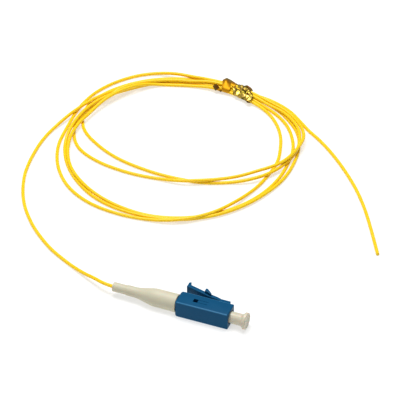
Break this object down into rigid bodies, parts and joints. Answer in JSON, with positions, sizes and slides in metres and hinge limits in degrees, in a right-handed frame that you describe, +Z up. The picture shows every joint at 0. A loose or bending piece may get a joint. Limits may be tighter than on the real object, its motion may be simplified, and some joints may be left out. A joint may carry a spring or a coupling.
{
  "type": "fibre optic pigtail",
  "caption": "Small form factor fibre optic plug with latch, boot and dust cap on a tight-buffered fibre coiled loosely in a twist tie, its far end bare.",
  "frame": {"origin": "middle of the flat side that the plug housing rests on, straight below the ferrule's axis", "axes": "+X along the ferrule, the way the plug is pushed in; +Y from the housing towards the latch; +Z up"},
  "size_m": [0.1041, 0.1014, 0.0047],
  "materials": {
    "housing": "satin blue moulding",
    "ceramic": "polished white",
    "cap": "soft cream",
    "boot": "soft cream",
    "fibre": "smooth yellow buffer",
    "foil": "crinkled gold foil"
  },
  "bodies": {
    "root": {"connector_housing": "housing", "ferrule": "ceramic", "boot": "boot", "fibre_lead": "fibre", "fibre_coil": "fibre", "fibre_tail": "fibre", "twist_tie": "foil"},
    "cap": {"dust_cap": "cap"}
  },
  "joints": [
    {"name": "cap_pull", "type": "slide", "parent": "root", "child": "cap", "axis": [1, 0, 0], "range_m": [0, 0.01]}
  ]
}
